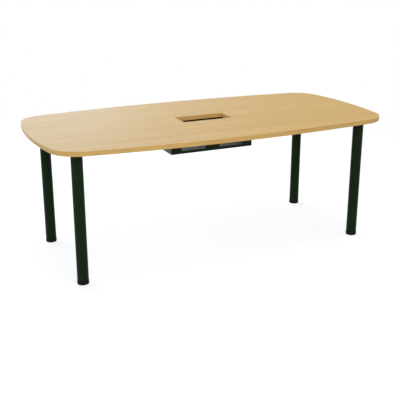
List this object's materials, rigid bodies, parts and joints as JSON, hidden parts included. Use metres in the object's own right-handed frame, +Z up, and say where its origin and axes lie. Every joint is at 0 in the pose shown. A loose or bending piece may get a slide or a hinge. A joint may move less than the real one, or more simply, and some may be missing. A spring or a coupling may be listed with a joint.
{
  "type": "conference table",
  "caption": "Barrel-shaped laminate conference table with a cable cut-out, a sheet-steel cable tray under it and round steel legs on screw-levelling feet.",
  "frame": {"origin": "on the floor, under the middle of the top", "axes": "+X along the top, +Y from the front to the rear, +Z up"},
  "size_m": [2, 1, 0.735],
  "materials": {
    "laminate": "satin pale oak laminate with a fine grain along the length",
    "edge_band": "satin wood-coloured edge band, a shade deeper than the face",
    "black_coat": "satin black powder coat on steel",
    "plate_coat": "black coat on a cast plate",
    "black_plastic": "moulded black plastic",
    "glide_sole": "dull dark glide plastic",
    "zinc_steel": "bright zinc plate"
  },
  "bodies": {
    "table": {"cable_tray_channel": "black_coat", "cable_tray_end_left": "black_coat", "cable_tray_end_right": "black_coat", "cable_tray_screw_front_1": "zinc_steel", "cable_tray_screw_front_2": "zinc_steel", "cable_tray_screw_front_3": "zinc_steel", "cable_tray_screw_rear_1": "zinc_steel", "cable_tray_screw_rear_2": "zinc_steel", "cable_tray_screw_rear_3": "zinc_steel", "cutout_band_front": "edge_band", "cutout_band_left": "edge_band", "cutout_band_rear": "edge_band", "cutout_band_right": "edge_band", "leg_end_plug_front_left": "black_plastic", "leg_end_plug_front_right": "black_plastic", "leg_end_plug_rear_left": "black_plastic", "leg_end_plug_rear_right": "black_plastic", "leg_lock_screw_front_left": "zinc_steel", "leg_lock_screw_front_right": "zinc_steel", "leg_lock_screw_rear_left": "zinc_steel", "leg_lock_screw_rear_right": "zinc_steel", "leg_plate_front_left": "plate_coat", "leg_plate_front_right": "plate_coat", "leg_plate_rear_left": "plate_coat", "leg_plate_rear_right": "plate_coat", "leg_plate_screw_front_left_1": "zinc_steel", "leg_plate_screw_front_left_2": "zinc_steel", "leg_plate_screw_front_left_3": "zinc_steel", "leg_plate_screw_front_left_4": "zinc_steel", "leg_plate_screw_front_right_1": "zinc_steel", "leg_plate_screw_front_right_2": "zinc_steel", "leg_plate_screw_front_right_3": "zinc_steel", "leg_plate_screw_front_right_4": "zinc_steel", "leg_plate_screw_rear_left_1": "zinc_steel", "leg_plate_screw_rear_left_2": "zinc_steel", "leg_plate_screw_rear_left_3": "zinc_steel", "leg_plate_screw_rear_left_4": "zinc_steel", "leg_plate_screw_rear_right_1": "zinc_steel", "leg_plate_screw_rear_right_2": "zinc_steel", "leg_plate_screw_rear_right_3": "zinc_steel", "leg_plate_screw_rear_right_4": "zinc_steel", "leg_tube_front_left": "black_coat", "leg_tube_front_right": "black_coat", "leg_tube_rear_left": "black_coat", "leg_tube_rear_right": "black_coat", "perimeter_edge_band": "edge_band", "tabletop_board": "laminate"},
    "foot_base_front_left": {"foot_sole_front_left": "glide_sole"},
    "foot_screw_front_left": {"foot_pad_front_left": "black_plastic", "foot_stem_front_left": "zinc_steel"},
    "foot_base_front_right": {"foot_sole_front_right": "glide_sole"},
    "foot_screw_front_right": {"foot_pad_front_right": "black_plastic", "foot_stem_front_right": "zinc_steel"},
    "foot_base_rear_left": {"foot_sole_rear_left": "glide_sole"},
    "foot_screw_rear_left": {"foot_pad_rear_left": "black_plastic", "foot_stem_rear_left": "zinc_steel"},
    "foot_base_rear_right": {"foot_sole_rear_right": "glide_sole"},
    "foot_screw_rear_right": {"foot_pad_rear_right": "black_plastic", "foot_stem_rear_right": "zinc_steel"}
  },
  "joints": [
    {"name": "foot_lift_front_left", "type": "slide", "parent": "table", "child": "foot_base_front_left", "axis": [0, 0, -1], "range_m": [0, 0.015]},
    {"name": "foot_turn_front_left", "type": "hinge", "parent": "foot_base_front_left", "child": "foot_screw_front_left", "pos_m": [-0.842, -0.328, 0.022], "axis": [0, 0, -1], "range_deg": [0, 3600]},
    {"name": "foot_lift_front_right", "type": "slide", "parent": "table", "child": "foot_base_front_right", "axis": [0, 0, -1], "range_m": [0, 0.015]},
    {"name": "foot_turn_front_right", "type": "hinge", "parent": "foot_base_front_right", "child": "foot_screw_front_right", "pos_m": [0.842, -0.328, 0.022], "axis": [0, 0, -1], "range_deg": [0, 3600]},
    {"name": "foot_lift_rear_left", "type": "slide", "parent": "table", "child": "foot_base_rear_left", "axis": [0, 0, -1], "range_m": [0, 0.015]},
    {"name": "foot_turn_rear_left", "type": "hinge", "parent": "foot_base_rear_left", "child": "foot_screw_rear_left", "pos_m": [-0.842, 0.328, 0.022], "axis": [0, 0, -1], "range_deg": [0, 3600]},
    {"name": "foot_lift_rear_right", "type": "slide", "parent": "table", "child": "foot_base_rear_right", "axis": [0, 0, -1], "range_m": [0, 0.015]},
    {"name": "foot_turn_rear_right", "type": "hinge", "parent": "foot_base_rear_right", "child": "foot_screw_rear_right", "pos_m": [0.842, 0.328, 0.022], "axis": [0, 0, -1], "range_deg": [0, 3600]}
  ],
  "couplings": [
    {"joint": "foot_lift_front_left", "follows": "foot_turn_front_left", "m_per_rad": 0.00023873},
    {"joint": "foot_lift_front_right", "follows": "foot_turn_front_right", "m_per_rad": 0.00023873},
    {"joint": "foot_lift_rear_left", "follows": "foot_turn_rear_left", "m_per_rad": 0.00023873},
    {"joint": "foot_lift_rear_right", "follows": "foot_turn_rear_right", "m_per_rad": 0.00023873}
  ]
}
